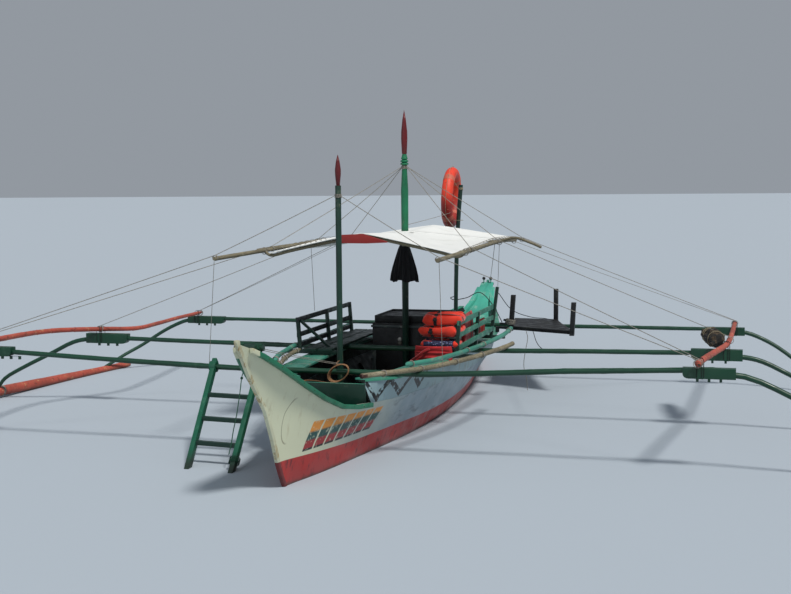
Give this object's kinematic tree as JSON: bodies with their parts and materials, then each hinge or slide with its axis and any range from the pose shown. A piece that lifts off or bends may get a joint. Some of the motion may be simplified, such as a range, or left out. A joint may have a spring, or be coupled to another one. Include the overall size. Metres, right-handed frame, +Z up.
{
  "type": "double outrigger canoe",
  "caption": "Wooden double-outrigger canoe with bamboo floats on cross beams, two masts, a cloth awning, engine housing, side benches, boarding ladder and rudder.",
  "frame": {"origin": "on the centre plane at the waterline, midway between stem and stern", "axes": "+X forward to the bow, +Y to port, +Z up"},
  "size_m": [9.3662, 9.71, 3.715],
  "materials": {
    "cream_paint": "worn cream paint over a red bottom",
    "green_paint": "worn green paint",
    "teal_paint": "worn light teal paint",
    "dark_green_paint": "dark green paint",
    "pale_blue_paint": "pale blue paint with a black zigzag",
    "red_paint": "dark red paint",
    "brick_paint": "brick red paint worn to bare bamboo",
    "slate_paint": "dark grey-green paint with teal edges",
    "black_paint": "black paint",
    "bare_wood": "weathered bare planks",
    "bamboo": "weathered bamboo",
    "canvas": "white woven sheet",
    "dark_cloth": "black cloth",
    "vest_cloth": "orange-red woven cloth",
    "rope": "laid rope",
    "buoy_shell": "orange-red shell with pale bands",
    "engine_iron": "painted iron",
    "shaft_steel": "bare steel",
    "propeller_bronze": "dull bronze"
  },
  "bodies": {
    "boat": {"hull_shell": "cream_paint", "keel": "red_paint", "stem_post": "cream_paint", "stern_post": "teal_paint", "coaming_board": "dark_green_paint", "floorboards": "bare_wood", "bow_deck": "green_paint", "stern_deck": "teal_paint", "bow_bitt": "dark_green_paint", "front_beam": "dark_green_paint", "middle_beam": "dark_green_paint", "rear_beam": "dark_green_paint", "bow_rail_port": "green_paint", "bow_rail_starboard": "green_paint", "stern_rail_port": "teal_paint", "stern_rail_starboard": "teal_paint", "washboard_port": "pale_blue_paint", "washboard_starboard": "pale_blue_paint", "side_deck_port": "teal_paint", "side_deck_starboard": "teal_paint", "arm_front_port": "dark_green_paint", "arm_middle_port": "dark_green_paint", "arm_rear_port": "dark_green_paint", "arm_front_starboard": "dark_green_paint", "arm_middle_starboard": "dark_green_paint", "arm_rear_starboard": "dark_green_paint", "float_port": "brick_paint", "float_starboard": "brick_paint", "spar_port": "brick_paint", "spar_starboard": "brick_paint", "side_pole_port": "teal_paint", "side_pole_starboard": "teal_paint", "bamboo_port": "bamboo", "bamboo_starboard": "bamboo", "bench_port": "slate_paint", "bench_starboard": "slate_paint", "aft_platform": "slate_paint", "engine_housing": "black_paint", "engine": "engine_iron", "foremast": "dark_green_paint", "main_mast": "dark_green_paint", "aft_pole": "dark_green_paint", "lifebuoy": "buoy_shell", "awning_frame": "bamboo", "awning_front": "canvas", "awning_rear": "canvas", "awning_fascia": "red_paint", "fore_stays": "rope", "main_stays": "rope", "mast_cloth": "dark_cloth", "vest_pile": "vest_cloth", "net_roll": "dark_cloth"},
    "lid": {"housing_lid": "black_paint"},
    "screw": {"propeller": "propeller_bronze", "propeller_shaft": "shaft_steel"},
    "helm": {"rudder": "dark_green_paint"},
    "boarding_ladder": {"ladder": "green_paint"}
  },
  "joints": [
    {"name": "lid_hinge", "type": "hinge", "parent": "boat", "child": "lid", "pos_m": [-0.904, 0, 0.913], "axis": [0, -1, 0], "range_deg": [0, 100]},
    {"name": "propeller_turn", "type": "hinge", "parent": "boat", "child": "screw", "pos_m": [-3.9, 0, -0.362], "axis": [-0.9973, 0, -0.0733], "continuous": true},
    {"name": "rudder_turn", "type": "hinge", "parent": "boat", "child": "helm", "pos_m": [-4.137, 0, 0.05], "axis": [-0.4952, 0, 0.8688], "range_deg": [-35, 35]},
    {"name": "ladder_swing", "type": "hinge", "parent": "boat", "child": "boarding_ladder", "pos_m": [2.45, -0.716, 0.748], "axis": [0, 0.9998, -0.0206], "range_deg": [-70, 0]}
  ]
}
